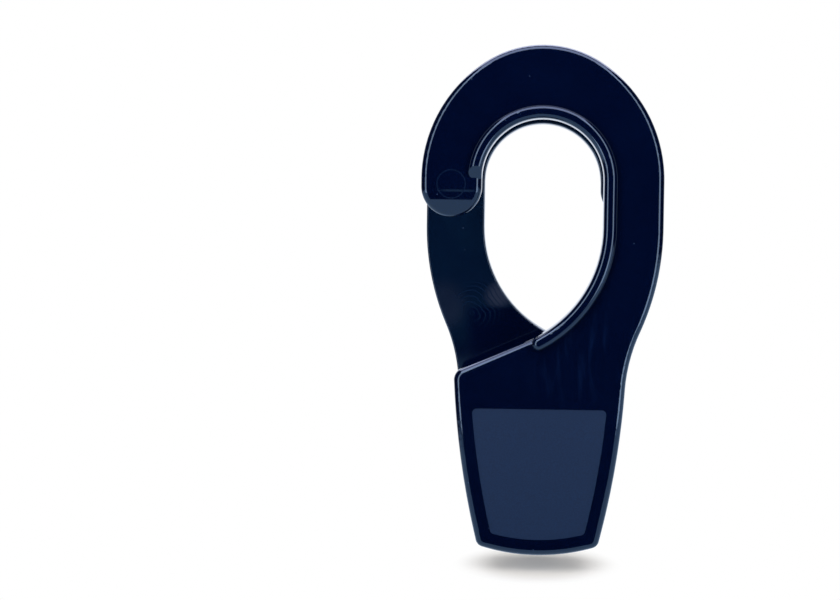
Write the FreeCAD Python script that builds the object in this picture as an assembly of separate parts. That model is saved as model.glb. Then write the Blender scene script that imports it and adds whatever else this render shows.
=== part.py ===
import FreeCAD, Part
import math
import os

# Fender hanger, moulded in one piece. Two hook plates stand face to face and
# share one web at the foot. The front plate opens at -X. The rear plate is the
# same plate turned half round, so it opens at +X. A rail slips in between the
# plates, and a quarter turn brings it through both loops. The fender's rope
# goes up one side of the web, over it and down into the jaws of the other.
# Millimetres, +Z up. The origin is the middle of the loops, and the rail lies
# along Y when the hanger is on it.

# Whole height, from the bottom of the foot to the crown
overall_height = 171.65

# Loop that holds the rail
loop_radius = 20.4
side_band = 20.2
crown_band = 24.65
crown_radius = 35.4
straight_drop = 16.0
arm_inner_radius = 41.5
arm_outer_radius = 86.0

# Hook tip, whose outer face turns inwards as a nose
tip_drop = 2.7
nose_length = 12.0
nose_setback = 3.2

# Foot, which is also the grip. Its levels are measured down from the origin
foot_drop = 70.0
foot_top_half_width = 28.65
foot_low_half_width = 20.45
foot_corner_height = 3.5
foot_side_radius = 288.0
foot_bottom_radius = 66.0
foot_corner_radius = 3.0
waist_radius = 57.0
shoulder_slope = 23.7
shoulder_radius = 4.0

# Section of a plate, a sheet bowed outwards
plate_thickness = 6.85
outer_half_depth = 19.1
bow_drop = 10.5
bow_radius = 2016.0
rim_radius = 2.2
inner_edge_radius = 0.5

# Collar round the loop on each outer face. It starts beside the origin, with a
# slope that runs down into the plate
collar_width = 4.4
collar_height = 3.1
collar_edge_radius = 1.8
collar_end_angle = -62.0
collar_corner_radius = 2.0
collar_slope_length = 4.2
collar_slope_sink = 0.3

# Web between the plates, with the rounded saddle that the rope lies over
web_rise = 7.0
saddle_radius = 36.0
saddle_crown_radius = 75.0
web_edge_radius = 3.4
rope_channel_depth = 12.4

# Rope jaws on the inner side of each plate, two in each channel, with as many
# teeth as the foot has room for
mouth_inset = 1.5
jaw_drop = 6.5
funnel_height = 7.0
throat_half_gap = 1.75
tooth_pitch = 10.5
first_tooth_drop = 18.0
tooth_facet_height = 6.0
tooth_facet_angle = 20.0
tooth_tip_rise = 6.5
tooth_tip_half_gap = 3.6
groove_drop = 2.3
jaw_root = 1.6

# Matt panel on each outer face
panel_drop = 6.7
panel_margin = 5.5
panel_corner_radius = 1.6
panel_depth = 0.2

# Levels worked out from the sizes above
half_width = loop_radius + side_band
crown_level = loop_radius + crown_band
foot_top_level = -foot_drop
foot_bottom_level = crown_level - overall_height
foot_low_level = foot_bottom_level + foot_corner_height
web_top_level = foot_top_level + web_rise
jaw_top_level = web_top_level - jaw_drop
throat_level = jaw_top_level - funnel_height
first_tooth_level = throat_level - first_tooth_drop
tooth_room = first_tooth_level - groove_drop - foot_low_level
tooth_count = 1 + int(tooth_room // tooth_pitch)
panel_top_level = foot_top_level - panel_drop
inner_bow_radius = bow_radius - plate_thickness
collar_face_depth = outer_half_depth + collar_height
web_half_depth = outer_half_depth - plate_thickness

# Lengths for making and finding shapes: one that goes past the whole hanger, one
# within which two points count as the same, and how squarely a face looks along Y
past_all = 2 * overall_height
near = 0.01
facing = 0.6


def at(x, z, y=0.0):
    """A point given as it is seen from the front: across, up, and depth last."""
    return FreeCAD.Vector(x, y, z)


def across_depth(length):
    return FreeCAD.Vector(0, length, 0)


def mirrored(point):
    return at(-point.x, point.z)


def line(start, end):
    return Part.LineSegment(start, end).toShape()


def arc_about(centre, radius, start_angle, end_angle):
    """Arc in the XZ plane, with its angles in degrees from +X towards +Z."""
    points = []
    for angle in (start_angle, (start_angle + end_angle) / 2, end_angle):
        turn = math.radians(angle)
        points.append(centre + at(math.cos(turn), math.sin(turn)) * radius)
    return Part.Arc(*points).toShape()


def angle_of(centre, point):
    return math.degrees(math.atan2(point.z - centre.z, point.x - centre.x))


def face_of(edges):
    ordered = [edge for group in Part.sortEdges(edges) for edge in group]
    return Part.Face(Part.Wire(ordered))


def crossing(centre_a, radius_a, centre_b, radius_b):
    """Of the two points where two circles in the XZ plane cross, the lower right one."""
    gap = centre_b - centre_a
    along = (radius_a ** 2 - radius_b ** 2 + gap.Length ** 2) / (2 * gap.Length)
    off_line = math.sqrt(radius_a ** 2 - along ** 2)
    unit = gap * (1 / gap.Length)
    foot = centre_a + unit * along
    square = at(-unit.z, unit.x) * off_line
    return max([foot + square, foot - square], key=lambda point: point.x - point.z)


def foot_side_centre():
    """Centre of the arc that is the foot's right side, from the two ends of the arc."""
    top = at(foot_top_half_width, foot_top_level)
    low = at(foot_low_half_width, foot_low_level)
    chord = top - low
    outwards = at(chord.z, -chord.x) * (1 / chord.Length)
    rise = math.sqrt(foot_side_radius ** 2 - (chord.Length / 2) ** 2)
    return (top + low) * 0.5 - outwards * rise


def foot_half_width(level):
    centre = foot_side_centre()
    return centre.x + math.sqrt(foot_side_radius ** 2 - (level - centre.z) ** 2)


def outer_face(level):
    """How far a plate's outer face is from the middle plane at a level."""
    return outer_half_depth - bow_radius + math.sqrt(bow_radius ** 2 - (level + bow_drop) ** 2)


def inner_face(level):
    """How far a plate's inner face is from the middle plane at a level."""
    return outer_half_depth - bow_radius + math.sqrt(inner_bow_radius ** 2 - (level + bow_drop) ** 2)


def bottom_arc(side_centre, margin=0.0):
    """Right corner and bottom arc of the foot, the web or the panel, in by a margin."""
    centre = at(0, foot_bottom_level + foot_bottom_radius)
    radius = foot_bottom_radius - margin
    corner = crossing(side_centre, foot_side_radius - margin, centre, radius)
    start = angle_of(centre, corner)
    return corner, arc_about(centre, radius, start, -180 - start)


def side_arcs(side_centre, top_level, corner, margin=0.0):
    """Right and left side from a top level down to a corner, and the right one's top."""
    radius = foot_side_radius - margin
    left_centre = mirrored(side_centre)
    top = at(side_centre.x + math.sqrt(radius ** 2 - (top_level - side_centre.z) ** 2), top_level)
    right = arc_about(side_centre, radius,
                      angle_of(side_centre, top), angle_of(side_centre, corner))
    left = arc_about(left_centre, radius,
                     angle_of(left_centre, mirrored(corner)) % 360,
                     angle_of(left_centre, mirrored(top)) % 360)
    return top, [right, left]


def shoulder_line(arm_centre, left_centre):
    """Start and end of the straight shoulder, which is tangent to the arm's inner arc."""
    slope = math.radians(shoulder_slope)
    start = arm_centre + at(math.sin(slope), -math.cos(slope)) * arm_inner_radius
    heading = at(-math.cos(slope), -math.sin(slope))
    offset = start - left_centre
    along = offset.dot(heading)
    run = math.sqrt(along ** 2 - offset.dot(offset) + foot_side_radius ** 2) - along
    return start, start + heading * run


def arm_inner_centre():
    return at(loop_radius - arm_inner_radius, -straight_drop)


def plate_outline():
    """The front plate's outline with sharp corners, and the places of two of them."""
    crown_centre = at(0, crown_level - crown_radius)
    cheek_radius = (half_width ** 2 + crown_centre.z ** 2 - crown_radius ** 2) / (
        2 * (half_width - crown_radius))
    cheek_centre = at(half_width - cheek_radius, 0)
    cheek_end = angle_of(cheek_centre, crown_centre)
    arm_outer_centre = at(half_width - arm_outer_radius, -straight_drop)
    side_centre = foot_side_centre()
    left_centre = mirrored(side_centre)
    waist_centre = crossing(arm_outer_centre, arm_outer_radius + waist_radius,
                            side_centre, foot_side_radius + waist_radius)
    corner, bottom = bottom_arc(side_centre)
    leave, shoulder = shoulder_line(arm_inner_centre(), left_centre)
    tip_radius = side_band / 2
    tip_centre = at(-loop_radius - tip_radius, -tip_drop)
    face = face_of([
        arc_about(crown_centre, crown_radius, cheek_end, 180 - cheek_end),
        arc_about(cheek_centre, cheek_radius, 0, cheek_end),
        arc_about(mirrored(cheek_centre), cheek_radius, 180 - cheek_end, 180),
        line(at(half_width, 0), at(half_width, -straight_drop)),
        arc_about(arm_outer_centre, arm_outer_radius,
                  0, angle_of(arm_outer_centre, waist_centre)),
        arc_about(waist_centre, waist_radius,
                  angle_of(waist_centre, arm_outer_centre) % 360,
                  angle_of(waist_centre, side_centre) % 360),
        arc_about(side_centre, foot_side_radius,
                  angle_of(side_centre, waist_centre), angle_of(side_centre, corner)),
        bottom,
        arc_about(left_centre, foot_side_radius,
                  angle_of(left_centre, mirrored(corner)) % 360,
                  angle_of(left_centre, shoulder) % 360),
        line(shoulder, leave),
        arc_about(arm_inner_centre(), arm_inner_radius, shoulder_slope - 90, 0),
        line(at(loop_radius, -straight_drop), at(loop_radius, 0)),
        arc_about(at(0, 0), loop_radius, 0, 180),
        line(at(-loop_radius, 0), at(-loop_radius, -tip_drop)),
        arc_about(tip_centre, tip_radius, 0, -180),
        line(at(-half_width, -tip_drop), at(-half_width, 0)),
    ])
    return face, shoulder, corner


def bowed_sheet():
    """Sheet of the plate's section, taller and wider than the plate cut from it."""
    levels = (foot_bottom_level - overall_height / 2, -bow_drop, crown_level + overall_height / 2)
    outer = [at(0, level, -outer_face(level)) for level in levels]
    inner = [at(0, level, -inner_face(level)) for level in levels]
    section = face_of([
        Part.Arc(*outer).toShape(),
        line(outer[2], inner[2]),
        Part.Arc(*inner).toShape(),
        line(inner[0], outer[0]),
    ])
    section.translate(at(-past_all / 2, 0))
    return section.extrude(at(past_all, 0))


def edges_along_depth(solid, point):
    """The edges parallel to Y at a corner of the outline."""
    found = []
    for edge in solid.Edges:
        ends = [vertex.Point for vertex in edge.Vertexes]
        if all(math.hypot(end.x - point.x, end.z - point.z) < near for end in ends):
            found.append(edge)
    return found


def rim_edges(solid, side):
    """The edges all round the faces of a plate that look towards -Y or +Y."""
    edges = []
    for face in solid.Faces:
        u_low, u_high, v_low, v_high = face.ParameterRange
        normal = face.normalAt((u_low + u_high) / 2, (v_low + v_high) / 2)
        if normal.y * side < facing:
            continue
        for edge in face.Edges:
            shared = [other for other in edges if other.isSame(edge)]
            if shared:
                edges.remove(shared[0])
            else:
                edges.append(edge)
    return edges


def nose_cut():
    """What is taken off the outer face of the tip to make its nose."""
    low = -tip_drop - side_band / 2
    start = low + nose_length
    radius = (nose_length ** 2 + nose_setback ** 2) / (2 * nose_setback)
    face = -outer_face(start)
    turn = math.asin(nose_length / radius) / 2
    outside = face - plate_thickness
    section = face_of([
        Part.Arc(at(0, start, face),
                 at(0, start - radius * math.sin(turn), face + radius * (1 - math.cos(turn))),
                 at(0, low, face + nose_setback)).toShape(),
        line(at(0, low, face + nose_setback), at(0, low, outside)),
        line(at(0, low, outside), at(0, start, outside)),
        line(at(0, start, outside), at(0, start, face)),
    ])
    section.translate(at(-past_all, 0))
    return section.extrude(at(past_all - loop_radius + near, 0))


def slope_cut():
    """What is taken off the collar's start, so that it slopes down into the plate."""
    root = at(-past_all, 0, collar_slope_sink - outer_half_depth)
    top = at(-past_all, collar_slope_length, -collar_face_depth)
    beyond = root + (top - root) * 2
    below = at(-past_all, 0, beyond.y)
    section = face_of([line(root, beyond), line(beyond, below), line(below, root)])
    return section.extrude(at(past_all, 0))


def collar():
    """The raised rim of the loop, sunk into the plate as far as its middle."""
    centre = arm_inner_centre()
    outer_loop = loop_radius + collar_width
    outer_arm = arm_inner_radius + collar_width
    end = math.radians(collar_end_angle)
    end_middle = centre + at(math.cos(end), math.sin(end)) * (arm_inner_radius + collar_width / 2)
    band = face_of([
        arc_about(at(0, 0), loop_radius, 180, 0),
        line(at(loop_radius, 0), at(loop_radius, -straight_drop)),
        arc_about(centre, arm_inner_radius, 0, collar_end_angle),
        arc_about(end_middle, collar_width / 2, collar_end_angle - 180, collar_end_angle),
        arc_about(centre, outer_arm, collar_end_angle, 0),
        line(at(outer_loop, -straight_drop), at(outer_loop, 0)),
        arc_about(at(0, 0), outer_loop, 0, 180),
        line(at(-outer_loop, 0), at(-loop_radius, 0)),
    ])
    band.translate(across_depth(-collar_face_depth))
    solid = band.extrude(across_depth(collar_height + plate_thickness / 2))
    corner = edges_along_depth(solid, at(-outer_loop, 0))
    solid = solid.makeFillet(collar_corner_radius, corner)
    solid = solid.makeFillet(collar_edge_radius, rim_edges(solid, -1))
    return solid.cut(slope_cut())


def panel_cut():
    """What is taken off the outer face to make the matt panel, parallel to the foot's rim."""
    side_centre = foot_side_centre()
    low, bottom = bottom_arc(side_centre, panel_margin)
    top, sides = side_arcs(side_centre, panel_top_level, low, panel_margin)
    outline = face_of(sides + [bottom, line(mirrored(top), top)])
    outline.translate(across_depth(-collar_face_depth))
    block = outline.extrude(across_depth(collar_height + plate_thickness))
    corners = []
    for point in (top, low, mirrored(top), mirrored(low)):
        corners += edges_along_depth(block, point)
    block = block.makeFillet(panel_corner_radius, corners)
    floor = bowed_sheet()
    floor.translate(across_depth(panel_depth))
    return block.cut(floor)


def plate():
    """The front plate, with its collar and its matt panel."""
    face, shoulder, corner = plate_outline()
    blank = face.extrude(across_depth(-2 * outer_half_depth))
    body = blank.common(bowed_sheet())
    body = body.makeFillet(shoulder_radius, edges_along_depth(body, shoulder))
    bottom_corners = edges_along_depth(body, corner) + edges_along_depth(body, mirrored(corner))
    body = body.makeFillet(foot_corner_radius, bottom_corners)
    body = body.cut(nose_cut())
    body = body.makeFillet(rim_radius, rim_edges(body, -1))
    body = body.makeFillet(inner_edge_radius, rim_edges(body, 1))
    body = body.fuse(collar()).removeSplitter().Solids[0]
    return body.cut(panel_cut()).Solids[0]


def web():
    """The web between the plates: its sides follow the foot, its top is a saddle."""
    side_centre = foot_side_centre() - at(rope_channel_depth, 0)
    corner, bottom = bottom_arc(side_centre)
    top, sides = side_arcs(side_centre, web_top_level, corner)
    outline = face_of(sides + [bottom, line(mirrored(top), top)])
    outline.translate(across_depth(-web_half_depth))
    block = outline.extrude(across_depth(2 * web_half_depth))
    solid = block.common(saddle())
    edges = []
    for edge in solid.Edges:
        middle = edge.CenterOfMass
        along = abs(edge.Vertexes[0].Point.y - edge.Vertexes[-1].Point.y)
        if along > web_half_depth and middle.z > jaw_top_level:
            edges.append(edge)
    return solid.makeFillet(web_edge_radius, edges)


def saddle():
    """Barrel lying along Y, whose upper side is the top of the web."""
    axis_level = web_top_level - saddle_radius
    drop = saddle_crown_radius - math.sqrt(saddle_crown_radius ** 2 - web_half_depth ** 2)
    shoulder_level = web_top_level - drop
    section = face_of([
        Part.Arc(at(0, shoulder_level, -web_half_depth), at(0, web_top_level),
                 at(0, shoulder_level, web_half_depth)).toShape(),
        line(at(0, shoulder_level, web_half_depth), at(0, axis_level, web_half_depth)),
        line(at(0, axis_level, web_half_depth), at(0, axis_level, -web_half_depth)),
        line(at(0, axis_level, -web_half_depth), at(0, shoulder_level, -web_half_depth)),
    ])
    return section.revolve(at(0, axis_level), FreeCAD.Vector(0, 1, 0), 360)


def mouth(level):
    """Point on the rear plate's inner face where a jaw begins at the channel's mouth."""
    return at(foot_half_width(level) - mouth_inset, level, inner_face(level))


def channel_corner(level):
    """Point where the rear plate's inner face meets the web."""
    return at(foot_half_width(level) - rope_channel_depth, level, inner_face(level))


def beside_web(level, half_gap):
    """Point on the web's side at a distance from the middle plane."""
    return at(foot_half_width(level) - rope_channel_depth, level, half_gap)


def trimmed(solid, a, b, c, inside):
    """The solid without what lies beyond the plane through a, b and c."""
    normal = (b - a).cross(c - a)
    if normal.dot(inside - a) > 0:
        normal = normal * -1
    knife = Part.makeBox(past_all, past_all, past_all,
                         FreeCAD.Vector(-past_all / 2, -past_all / 2, 0))
    knife.Placement = FreeCAD.Placement(
        a, FreeCAD.Rotation(FreeCAD.Vector(0, 0, 1), normal)).multiply(knife.Placement)
    return solid.cut(knife)


def jaw_blank(top, low):
    """Block in the channel between two levels, rooted in the plate and in the web."""
    root = at(jaw_root, 0)
    corners = [mouth(top), mouth(low), channel_corner(low) - root, channel_corner(top) - root]
    flat = [at(corner.x, corner.z) for corner in corners]
    outline = Part.Face(Part.makePolygon(flat + flat[:1]))
    return outline.extrude(across_depth(inner_face(low) + jaw_root))


def tooth(number):
    """One tooth on the rear plate at +X. The first is the foot of the long ramp."""
    foot = first_tooth_level - number * tooth_pitch
    groove = foot - groove_drop
    tip = beside_web(foot + tooth_tip_rise, tooth_tip_half_gap)
    facet_top = mouth(foot + tooth_facet_height)
    lean = math.tan(math.radians(tooth_facet_angle))
    facet_way = FreeCAD.Vector(-lean, -1, 0)
    top = jaw_top_level if number == 0 else groove + tooth_pitch
    solid = jaw_blank(top, groove)
    middle = channel_corner((foot + groove) / 2)
    inside = middle + FreeCAD.Vector(-jaw_root / 2, jaw_root / 2, 0)
    if number == 0:
        throat = beside_web(throat_level, throat_half_gap)
        ramp_top = mouth(jaw_top_level)
        solid = trimmed(solid, ramp_top, throat, ramp_top + at(1, 0), inside)
        solid = trimmed(solid, ramp_top, throat, facet_top, inside)
        solid = trimmed(solid, throat, tip, facet_top, inside)
    else:
        solid = trimmed(solid, facet_top, channel_corner(top), tip, inside)
    solid = trimmed(solid, mouth(foot), facet_top, mouth(foot) + facet_way, inside)
    return trimmed(solid, mouth(foot), tip, channel_corner(groove), inside)


def turned(solid):
    """A copy turned half round the Z axis."""
    copy = solid.copy()
    copy.rotate(at(0, 0), FreeCAD.Vector(0, 0, 1), 180)
    return copy


def hanger():
    front = plate()
    pieces = [web(), turned(front)]
    for number in range(tooth_count):
        rear_jaw = tooth(number)
        front_jaw = rear_jaw.mirror(at(0, 0), FreeCAD.Vector(0, 1, 0))
        pieces += [rear_jaw, front_jaw, turned(rear_jaw), turned(front_jaw)]
    whole = front
    for piece in pieces:
        whole = whole.fuse(piece)
    return whole.removeSplitter().Solids[0]


os.makedirs("parts", exist_ok=True)
clip = hanger()
print("hanger valid", clip.isValid(), "solids", len(clip.Solids), "volume", round(clip.Volume))
print("box", clip.BoundBox)
clip.exportStep("parts/hanger.step")
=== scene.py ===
import math
import bpy
import bmesh
from mathutils import Matrix, Vector
from mathutils.bvhtree import BVHTree


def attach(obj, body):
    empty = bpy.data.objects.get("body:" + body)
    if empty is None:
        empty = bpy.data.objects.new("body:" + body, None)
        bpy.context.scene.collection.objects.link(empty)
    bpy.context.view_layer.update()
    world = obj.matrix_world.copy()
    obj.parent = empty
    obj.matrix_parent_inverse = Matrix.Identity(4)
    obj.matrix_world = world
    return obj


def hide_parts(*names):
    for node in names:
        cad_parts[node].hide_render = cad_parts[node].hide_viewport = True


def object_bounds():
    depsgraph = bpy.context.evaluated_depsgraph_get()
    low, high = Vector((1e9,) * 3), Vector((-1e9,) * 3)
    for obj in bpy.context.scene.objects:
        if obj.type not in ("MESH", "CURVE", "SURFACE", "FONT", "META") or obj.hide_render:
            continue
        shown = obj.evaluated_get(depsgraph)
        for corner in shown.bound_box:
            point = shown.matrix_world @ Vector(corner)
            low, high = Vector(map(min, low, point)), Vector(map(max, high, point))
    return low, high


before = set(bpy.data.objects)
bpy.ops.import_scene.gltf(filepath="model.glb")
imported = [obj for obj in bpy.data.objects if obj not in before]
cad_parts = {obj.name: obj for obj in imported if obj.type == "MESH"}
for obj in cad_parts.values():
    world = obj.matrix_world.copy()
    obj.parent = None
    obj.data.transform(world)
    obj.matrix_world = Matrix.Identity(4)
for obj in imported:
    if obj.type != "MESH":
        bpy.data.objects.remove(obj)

# The box that the construction fills.
cad_low, cad_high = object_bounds()


# Hanger. One moulding in glossy navy nylon: two hook plates on one web, with the
# rope jaws between them. It comes out of a polished mould, so its faces are
# smooth and its rims round, and only the panels on the foot are spark-eroded.
smooth_angle = math.radians(24)
weld_distance = 0.000002

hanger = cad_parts["hanger"].copy()
hanger.data = hanger.data.copy()
hanger.data.materials.clear()
hanger.name = "hanger_moulding"
hanger.parent = None
bpy.context.scene.collection.objects.link(hanger)
for key in list(hanger.keys()):
    del hanger[key]

moulding = bmesh.new()
moulding.from_mesh(hanger.data)
bmesh.ops.remove_doubles(moulding, verts=moulding.verts, dist=weld_distance)
bmesh.ops.dissolve_degenerate(moulding, dist=weld_distance, edges=moulding.edges)
for face in moulding.faces:
    face.smooth = True
    face.material_index = 0
for edge in moulding.edges:
    edge.smooth = edge.is_manifold and edge.calc_face_angle(0.0) < smooth_angle

# Each matt panel is the patch of faces round its middle, inside its sharp step.
panel_middle = Vector((0.0, 0.0175, -0.1))
moulding.faces.ensure_lookup_table()
surface = BVHTree.FromBMesh(moulding)
for side in (-1, 1):
    middle = Vector((panel_middle.x, side * panel_middle.y, panel_middle.z))
    first = moulding.faces[surface.find_nearest(middle)[2]]
    patch = [first]
    first.material_index = 1
    while patch:
        face = patch.pop()
        for edge in face.edges:
            for neighbour in edge.link_faces:
                if edge.smooth and neighbour.material_index == 0:
                    neighbour.material_index = 1
                    patch.append(neighbour)

# The plates are bowed a little and the tips have a rounded nose. Both get their true
# slope, so that the rims beside them don't bend what they reflect.
bow_level = -0.0105
bow_radius = 2.016
plate_reach = 0.0195
plate_facing = 0.999
nose_top = -0.0008
nose_low = -0.0128
nose_radius = 0.0241
nose_side = 0.0204
nose_facing = 0.85
nose_sideways = 0.02
moulding.verts.index_update()
true_slopes = {}
for face in moulding.faces:
    middle = face.calc_center_median()
    plate = math.copysign(1.0, middle.y)
    outwards = math.copysign(1.0, face.normal.y) * plate
    on_nose = (outwards > 0 and nose_low < middle.z < nose_top and middle.x * plate > nose_side
               and abs(face.normal.x) < nose_sideways and abs(face.normal.y) > nose_facing)
    on_plate = abs(face.normal.y) > plate_facing and abs(middle.y) < plate_reach
    for vertex in face.verts:
        if on_nose:
            fall = (nose_top - vertex.co.z) / nose_radius
            slope = Vector((0.0, plate * math.sqrt(1.0 - fall * fall), -fall))
        elif on_plate:
            slope = Vector((0.0, plate, (vertex.co.z - bow_level) / bow_radius)).normalized()
            slope = slope * outwards
        else:
            continue
        true_slopes.setdefault(vertex.index, slope)
moulding.to_mesh(hanger.data)
moulding.free()

slopes = [corner.vector.copy() for corner in hanger.data.corner_normals]
for polygon in hanger.data.polygons:
    for corner in polygon.loop_indices:
        slope = true_slopes.get(hanger.data.loops[corner].vertex_index)
        if slope and polygon.normal.dot(slope) > math.cos(smooth_angle):
            slopes[corner] = slope
hanger.data.normals_split_custom_set(slopes)


# Gloss of the moulding. Nylon coloured right through, with a clear surface skin.
# The skin is a little uneven where the plastic flowed and cooled, and the ejector
# pin has left a fine ring on the face of each hook tip.
nylon_ior = 1.6
nylon_sheen = (0.66, 0.83, 1.0, 1.0)
gloss_base = (0.00015, 0.0024, 0.0165, 1.0)
gloss_roughness = 0.05


def navy_plastic(name, base, roughness):
    """Material of the hanger, with its nodes, links and shader."""
    material = bpy.data.materials.new(name)
    material.use_nodes = True
    tree = material.node_tree
    shader = tree.nodes["Principled BSDF"]
    shader.inputs["Base Color"].default_value = base
    shader.inputs["Roughness"].default_value = roughness
    shader.inputs["IOR"].default_value = nylon_ior
    shader.inputs["Specular Tint"].default_value = nylon_sheen
    return material, tree.nodes, tree.links, shader


def reckon(nodes, links, operation, first, second=0.0):
    """Result of one arithmetic node, whose inputs are sockets or numbers."""
    node = nodes.new("ShaderNodeMath")
    node.operation = operation
    for socket, value in zip(node.inputs, (first, second)):
        if isinstance(value, (int, float)):
            socket.default_value = value
        else:
            links.new(value, socket)
    return node.outputs[0]


def ramp(nodes, links, value, low, high, at_low=0.0, at_high=1.0):
    """Smooth step of a socket's value from one level to another."""
    node = nodes.new("ShaderNodeMapRange")
    node.interpolation_type = "SMOOTHSTEP"
    for name, number in (("From Min", low), ("From Max", high),
                         ("To Min", at_low), ("To Max", at_high)):
        node.inputs[name].default_value = number
    links.new(value, node.inputs["Value"])
    return node.outputs["Result"]


def noise(nodes, links, place, scale, detail, distortion=0.0):
    """Soft random pattern between 0 and 1."""
    node = nodes.new("ShaderNodeTexNoise")
    node.inputs["Scale"].default_value = scale
    node.inputs["Detail"].default_value = detail
    node.inputs["Distortion"].default_value = distortion
    links.new(place, node.inputs["Vector"])
    return node.outputs["Fac"]


def tinted(nodes, links, factor, first, second):
    """Colour between two others, each a socket or four numbers."""
    node = nodes.new("ShaderNodeMix")
    node.data_type = "RGBA"
    for name, value in (("A", first), ("B", second)):
        if isinstance(value, tuple):
            node.inputs[name].default_value = value
        else:
            links.new(value, node.inputs[name])
    links.new(factor, node.inputs["Factor"])
    return node.outputs["Result"]


gloss, nodes, links, gloss_shader = navy_plastic("navy_gloss", gloss_base, gloss_roughness)
place = nodes.new("ShaderNodeTexCoord").outputs["Object"]
split = nodes.new("ShaderNodeSeparateXYZ")
links.new(place, split.inputs["Vector"])
level = split.outputs["Z"]
front_or_rear = reckon(nodes, links, "SIGN", split.outputs["Y"])
across = reckon(nodes, links, "MULTIPLY", split.outputs["X"], front_or_rear)
depth = reckon(nodes, links, "ABSOLUTE", split.outputs["Y"])
inner = ramp(nodes, links, depth, 0.0126, 0.0136, 1.0, 0.0)
outside = ramp(nodes, links, depth, 0.0135, 0.014)


def distance_from(middle_across, middle_level):
    """Distance from a point that lies at the same place on either plate."""
    sideways = reckon(nodes, links, "SUBTRACT", across, middle_across)
    upwards = reckon(nodes, links, "SUBTRACT", level, middle_level)
    return reckon(nodes, links, "SQRT", reckon(
        nodes, links, "ADD", reckon(nodes, links, "POWER", sideways, 2.0),
        reckon(nodes, links, "POWER", upwards, 2.0)))


pigment_thin = (0.0001, 0.0018, 0.0135, 1.0)
pigment_thick = (0.0004, 0.0034, 0.021, 1.0)
flow = noise(nodes, links, place, scale=38.0, detail=2.0, distortion=1.6)
colour = tinted(nodes, links, flow, pigment_thin, pigment_thick)

# Streaks where the plastic fanned out from the foot into the arms.
streak_colour = (0.0026, 0.0095, 0.042, 1.0)
streak_lean = math.radians(-28)
streak_squeeze = (1.0, 1.0, 0.16)
streak_middle = (-0.014, -0.058)
stretch = nodes.new("ShaderNodeMapping")
stretch.inputs["Rotation"].default_value = (0.0, streak_lean, 0.0)
stretch.inputs["Scale"].default_value = streak_squeeze
links.new(place, stretch.inputs["Vector"])
streak = noise(nodes, links, stretch.outputs["Vector"], scale=330.0, detail=2.0, distortion=0.4)
streak = ramp(nodes, links, streak, 0.5, 0.8)
near_foot = ramp(nodes, links, distance_from(*streak_middle), 0.006, 0.024, 1.0, 0.0)
streak = reckon(nodes, links, "MULTIPLY", streak, near_foot)
streak = reckon(nodes, links, "MULTIPLY", streak, outside)
colour = tinted(nodes, links, streak, colour, streak_colour)

# Painted reflection: the inner faces are painted paler, as a sheen of light, on the arms and
# down their edge.
painted_sheen_colour = (0.0014, 0.0082, 0.025, 1.0)
upper_arm = ramp(nodes, links, level, -0.0456, -0.0434)
arm_edge = ramp(nodes, links, across, -0.0285, -0.0225, 1.0, 0.0)
above_web = ramp(nodes, links, level, -0.062, -0.054)
arm_edge = reckon(nodes, links, "MULTIPLY", arm_edge, above_web)
sheen_place = reckon(nodes, links, "MAXIMUM", upper_arm, arm_edge)
painted_sheen = reckon(nodes, links, "MULTIPLY", inner, sheen_place)
painted_sheen = reckon(nodes, links, "MULTIPLY", painted_sheen, ramp(nodes, links, flow, 0.25, 0.7, 0.6, 1.0))
colour = tinted(nodes, links, painted_sheen, colour, painted_sheen_colour)

# Painted reflection: two brighter spots are painted within the sheen on the arm, each given by
# its middle, reach and strength.
sheen_spot_colour = (0.026, 0.034, 0.06, 1.0)
sheen_spot_core = 0.3
for sheen_spot_middle, reach, strength in (((-0.0345, -0.0440), 0.0115, 0.3),
                                     ((-0.0150, -0.0403), 0.0062, 0.88)):
    sheen_spot = distance_from(*sheen_spot_middle)
    sheen_spot = ramp(nodes, links, sheen_spot, sheen_spot_core * reach, reach, strength, 0.0)
    sheen_spot = reckon(nodes, links, "MULTIPLY", sheen_spot, painted_sheen)
    colour = tinted(nodes, links, sheen_spot, colour, sheen_spot_colour)

# Arcs of the polishing tool show between them, each a little wavy.
swirl_colour = (0.0036, 0.0118, 0.034, 1.0)
swirl_centre = (-0.0242, -0.0466)
swirl_turns = 4300.0
swirl_wave = 0.006
swirl_middle = (-0.0213, -0.0416)
swirl_fray = 0.008
wave = reckon(nodes, links, "MULTIPLY", flow, swirl_wave)
from_swirl = reckon(nodes, links, "ADD", distance_from(*swirl_centre), wave)
swirl = reckon(nodes, links, "SINE", reckon(nodes, links, "MULTIPLY", from_swirl, swirl_turns))
swirl = ramp(nodes, links, swirl, 0.35, 1.0)
fray = reckon(nodes, links, "MULTIPLY", flow, swirl_fray)
swirl_reach = reckon(nodes, links, "ADD", distance_from(*swirl_middle), fray)
swirl_reach = ramp(nodes, links, swirl_reach, 0.008, 0.0155, 1.0, 0.0)
swirl = reckon(nodes, links, "MULTIPLY", swirl, swirl_reach)
swirl = reckon(nodes, links, "MULTIPLY", swirl, inner)
colour = tinted(nodes, links, swirl, colour, swirl_colour)

# The ejector pin's mark: a disc that lies a trace lower than the face round it.
ring_colour = (0.0055, 0.0165, 0.048, 1.0)
pin_middle = (0.0305, -0.0018)
pin_radius = 0.0047
ring_half_width = 0.00034
from_ring = reckon(nodes, links, "SUBTRACT", distance_from(*pin_middle), pin_radius)
ring = reckon(nodes, links, "ABSOLUTE", from_ring)
ring = ramp(nodes, links, ring, 0.0, ring_half_width, 1.0, 0.0)
ring = reckon(nodes, links, "MULTIPLY", ring, outside)
faint_ring = reckon(nodes, links, "MULTIPLY", ring, 0.5)
colour = tinted(nodes, links, faint_ring, colour, ring_colour)

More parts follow.
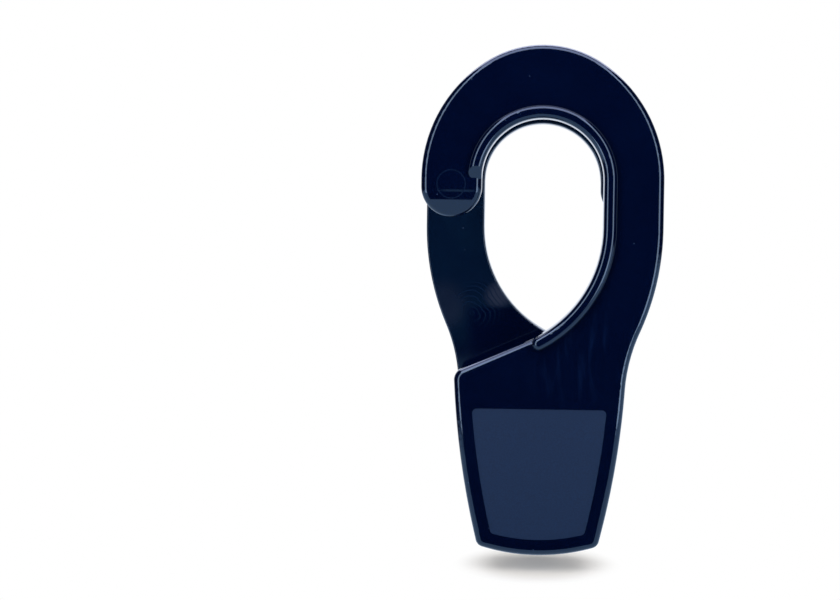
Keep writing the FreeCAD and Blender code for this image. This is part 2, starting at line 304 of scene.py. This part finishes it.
# Sparse specks of dust, each a small dull dot.
speck_colour = (0.018, 0.032, 0.07, 1.0)
dust = nodes.new("ShaderNodeTexVoronoi")
dust.inputs["Scale"].default_value = 260.0
links.new(place, dust.inputs["Vector"])
dust_draw = nodes.new("ShaderNodeSeparateColor")
links.new(dust.outputs["Color"], dust_draw.inputs["Color"])
speck = ramp(nodes, links, dust.outputs["Distance"], 0.03, 0.075, 1.0, 0.0)
drawn = ramp(nodes, links, dust_draw.outputs["Red"], 0.6, 0.7)
speck = reckon(nodes, links, "MULTIPLY", speck, drawn)
colour = tinted(nodes, links, speck, colour, speck_colour)
links.new(colour, gloss_shader.inputs["Base Color"])

# The skin is duller on the ring and on the specks.
ring_dullness = 0.15
speck_dullness = 0.3
skin = ramp(nodes, links, flow, 0.3, 0.75, 0.035, 0.075)
skin = reckon(nodes, links, "ADD", skin, reckon(nodes, links, "MULTIPLY", ring, ring_dullness))
skin = reckon(nodes, links, "ADD", skin, reckon(nodes, links, "MULTIPLY", speck, speck_dullness))
links.new(skin, gloss_shader.inputs["Roughness"])

disc_step = 0.0003
disc_depth = 0.35
flow_relief = 0.25
disc = ramp(nodes, links, from_ring, -disc_step, disc_step, 0.0, disc_depth)
relief = reckon(nodes, links, "MULTIPLY", flow, flow_relief)
relief = reckon(nodes, links, "ADD", relief, reckon(nodes, links, "MULTIPLY", disc, outside))
bump = nodes.new("ShaderNodeBump")
bump.inputs["Strength"].default_value = 0.35
bump.inputs["Distance"].default_value = 0.00008
links.new(relief, bump.inputs["Height"])
links.new(bump.outputs["Normal"], gloss_shader.inputs["Normal"])


# Matt panels. The same nylon where the mould is spark-eroded: a fine even grain
# of pits, which scatters the light and looks paler than the gloss round it.
matt_base = (0.0009, 0.0103, 0.0415, 1.0)
matt_roughness = 0.5
pit_colour = (0.0006, 0.0078, 0.0335, 1.0)
peak_colour = (0.0012, 0.0128, 0.0495, 1.0)
matt, nodes, links, matt_shader = navy_plastic("navy_spark_eroded", matt_base, matt_roughness)
matt_shader.inputs["Specular IOR Level"].default_value = 0.4
place = nodes.new("ShaderNodeTexCoord").outputs["Object"]
grain = noise(nodes, links, place, scale=2200.0, detail=3.0)
speckle = ramp(nodes, links, grain, 0.3, 0.7)
speckle = tinted(nodes, links, speckle, pit_colour, peak_colour)
links.new(speckle, matt_shader.inputs["Base Color"])
pits = nodes.new("ShaderNodeBump")
pits.inputs["Strength"].default_value = 0.5
pits.inputs["Distance"].default_value = 0.00004
links.new(grain, pits.inputs["Height"])
links.new(pits.outputs["Normal"], matt_shader.inputs["Normal"])

hanger.data.materials.append(gloss)
hanger.data.materials.append(matt)

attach(hanger, "root")
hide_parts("hanger")


# Floor. A white table top a little below the hanging foot, which catches its
# shadow and runs into the white studio behind. It is a trace warm, so that the
# shadow looks grey under lamps that are a trace blue.
floor_gap = 0.0058
floor_reach = 3.0
table_colour = (0.81, 0.72, 0.6, 1.0)
table_roughness = 0.9
table_glow = 0.27
shadow_squeeze = (0.85, 0.75, 0.0)
shadow_inner = 0.011
shadow_outer = 0.025

floor_mesh = bpy.data.meshes.new("table_top")
table = bmesh.new()
bmesh.ops.create_grid(table, x_segments=1, y_segments=1, size=floor_reach)
bmesh.ops.translate(table, verts=table.verts, vec=(0, 0, cad_low.z - floor_gap))
table.to_mesh(floor_mesh)
table.free()
floor = bpy.data.objects.new("table_top", floor_mesh)
bpy.context.scene.collection.objects.link(floor)
floor.visible_glossy = False

white = bpy.data.materials.new("table_white")
white.use_nodes = True
nodes, links = white.node_tree.nodes, white.node_tree.links
white_shader = nodes["Principled BSDF"]
white_shader.inputs["Base Color"].default_value = table_colour
white_shader.inputs["Roughness"].default_value = table_roughness
white_shader.inputs["Specular IOR Level"].default_value = 0.0
glow = nodes.new("ShaderNodeEmission")
glow.inputs["Strength"].default_value = table_glow
both = nodes.new("ShaderNodeAddShader")
links.new(white_shader.outputs["BSDF"], both.inputs[0])
links.new(glow.outputs["Emission"], both.inputs[1])

# The camera sees the shadow in an oval under the foot, and plain white beyond it.
squeeze = nodes.new("ShaderNodeMapping")
squeeze.inputs["Scale"].default_value = shadow_squeeze
links.new(nodes.new("ShaderNodeTexCoord").outputs["Object"], squeeze.inputs["Vector"])
distance = nodes.new("ShaderNodeVectorMath")
distance.operation = "LENGTH"
links.new(squeeze.outputs["Vector"], distance.inputs[0])
beyond = ramp(nodes, links, distance.outputs["Value"], shadow_inner, shadow_outer)
backdrop = nodes.new("ShaderNodeEmission")
backdrop.inputs["Strength"].default_value = 1.0
away = nodes.new("ShaderNodeMixShader")
links.new(beyond, away.inputs["Fac"])
links.new(both.outputs["Shader"], away.inputs[1])
links.new(backdrop.outputs["Emission"], away.inputs[2])
seen = nodes.new("ShaderNodeMixShader")
links.new(nodes.new("ShaderNodeLightPath").outputs["Is Camera Ray"], seen.inputs["Fac"])
links.new(white_shader.outputs["BSDF"], seen.inputs[1])
links.new(away.outputs["Shader"], seen.inputs[2])
links.new(seen.outputs["Shader"], nodes["Material Output"].inputs["Surface"])
floor_mesh.materials.append(white)


# Studio. A dim room with a white wall behind the object and bright ground round it. Two
# softboxes hang overhead with a narrow gap between them, each with a blue card. One more
# stands on each side of the camera, and a small strip lamp is below the camera.
room_colour = (0.8, 0.87, 1.0, 1.0)
room_light = 0.01
ground_colour = (0.5, 0.71, 1.0, 1.0)
ground_light = 1.19

world = bpy.data.worlds.new("studio")
world.use_nodes = True
bpy.context.scene.world = world
nodes, links = world.node_tree.nodes, world.node_tree.links
heading = nodes.new("ShaderNodeSeparateXYZ")
links.new(nodes.new("ShaderNodeTexCoord").outputs["Generated"], heading.inputs["Vector"])
light_path = nodes.new("ShaderNodeLightPath")

# The wall is what the gloss sees behind the object.
room = nodes["Background"]
room.inputs["Color"].default_value = room_colour
wall = ramp(nodes, links, heading.outputs["Y"], 0.5, 0.8)
wall = reckon(nodes, links, "MULTIPLY", wall, light_path.outputs["Is Glossy Ray"])
links.new(reckon(nodes, links, "ADD", wall, room_light), room.inputs["Strength"])

# The ground ends lower in front of and behind the object than at its two sides, where
# its edge is softer too.
front_edge = -0.486
left_edge = -0.23
right_edge = -0.1
front_blur = 0.015
side_blur = 0.07
ground = nodes.new("ShaderNodeBackground")
ground.inputs["Color"].default_value = ground_colour
ground.inputs["Strength"].default_value = ground_light
sideways = reckon(nodes, links, "ABSOLUTE", heading.outputs["X"])
side_edge = ramp(nodes, links, heading.outputs["X"], -0.1, 0.1, left_edge, right_edge)
to_side = ramp(nodes, links, sideways, 0.1, 0.5)
ground_edge = reckon(nodes, links, "SUBTRACT", side_edge, front_edge)
ground_edge = reckon(nodes, links, "MULTIPLY", ground_edge, to_side)
ground_edge = reckon(nodes, links, "ADD", ground_edge, front_edge)
below_edge = reckon(nodes, links, "SUBTRACT", ground_edge, heading.outputs["Z"])
edge_blur = ramp(nodes, links, sideways, 0.1, 0.5, front_blur, side_blur)
below_edge = reckon(nodes, links, "DIVIDE", below_edge, edge_blur)
studio = nodes.new("ShaderNodeMixShader")
links.new(ramp(nodes, links, below_edge, 0.0, 1.0), studio.inputs["Fac"])
links.new(room.outputs["Background"], studio.inputs[1])
links.new(ground.outputs["Background"], studio.inputs[2])

# The camera sees plain white.
backdrop = nodes.new("ShaderNodeBackground")
backdrop.inputs["Color"].default_value = (1.0, 1.0, 1.0, 1.0)
backdrop.inputs["Strength"].default_value = 1.0
seen = nodes.new("ShaderNodeMixShader")
links.new(light_path.outputs["Is Camera Ray"], seen.inputs["Fac"])
links.new(studio.outputs["Shader"], seen.inputs[1])
links.new(backdrop.outputs["Background"], seen.inputs[2])
links.new(seen.outputs["Shader"], nodes["World Output"].inputs["Surface"])


def softbox(name, place, aim, width, depth, power, tint, card=False):
    """Area lamp. A card shows in the gloss only and adds nothing to the colours."""
    lamp = bpy.data.lights.new(name, "AREA")
    lamp.color = tint
    lamp.shape = "RECTANGLE"
    lamp.size = width
    lamp.size_y = depth
    lamp.energy = power
    holder = bpy.data.objects.new(name, lamp)
    holder.location = place
    holder.rotation_euler = (Vector(aim) - Vector(place)).to_track_quat("-Z", "Y").to_euler()
    holder.visible_camera = False
    holder.visible_diffuse = not card
    bpy.context.scene.collection.objects.link(holder)


daylight = (0.88, 0.92, 1.0)
card_blue = (0.67, 0.65, 1.0)
window_blue = (0.76, 0.84, 1.0)
strip_blue = (0.4, 0.7, 1.0)
overhead_aim = (0.0, 0.0, -0.04)
softbox("softbox_front", (0.0, -0.52, 1.05), overhead_aim, 1.6, 0.9, 7.5, daylight)
softbox("softbox_back", (0.0, 0.58, 1.0), overhead_aim, 1.6, 0.9, 7.5, daylight)
softbox("card_front", (0.0, -0.51, 1.03), overhead_aim, 1.6, 0.88, 14.0, card_blue, card=True)
softbox("card_back", (0.0, 0.57, 0.98), overhead_aim, 1.6, 0.88, 14.0, card_blue, card=True)
for name, x in (("softbox_left", -0.331), ("softbox_right", 0.331)):
    softbox(name, (x, -0.439, 0.13), (0.0, 0.0, 0.13), 0.235, 0.69, 2.2, window_blue)
softbox("strip_front", (-0.0442, -0.329, -0.085), (-0.028, -0.02, -0.004),
        0.0165, 0.019, 0.00055, strip_blue)


# Camera, at the photograph's distance and height. The frame's centre lies left
# of the object and a little below the camera's own level.
photo_width = 840
photo_centre = Vector((420.0, 300.0))
axis_column = 541.6
horizon_row = 211.1
pixels_per_radian = 1668.0
sensor_width = 36.0
camera_depth = 0.552
camera_level = -0.0104
camera_roll = math.radians(0.9)
shift_down = 0.045

axis_row = photo_centre.y - shift_down * photo_width
pitch = math.atan((axis_row - horizon_row) / pixels_per_radian)
camera_data = bpy.data.cameras.new("camera")
camera_data.sensor_width = sensor_width
camera_data.lens = pixels_per_radian * sensor_width / photo_width
camera_data.shift_x = -(axis_column - photo_centre.x) / photo_width
camera_data.shift_y = -shift_down
camera = bpy.data.objects.new("camera", camera_data)
camera.matrix_world = (
    Matrix.Translation((0.0, cad_low.y - camera_depth, camera_level))
    @ Matrix.Rotation(math.radians(90) - pitch, 4, "X")
    @ Matrix.Rotation(camera_roll, 4, "Z")
)
bpy.context.scene.collection.objects.link(camera)
bpy.context.scene.camera = camera
bpy.context.scene.view_settings.view_transform = "Standard"
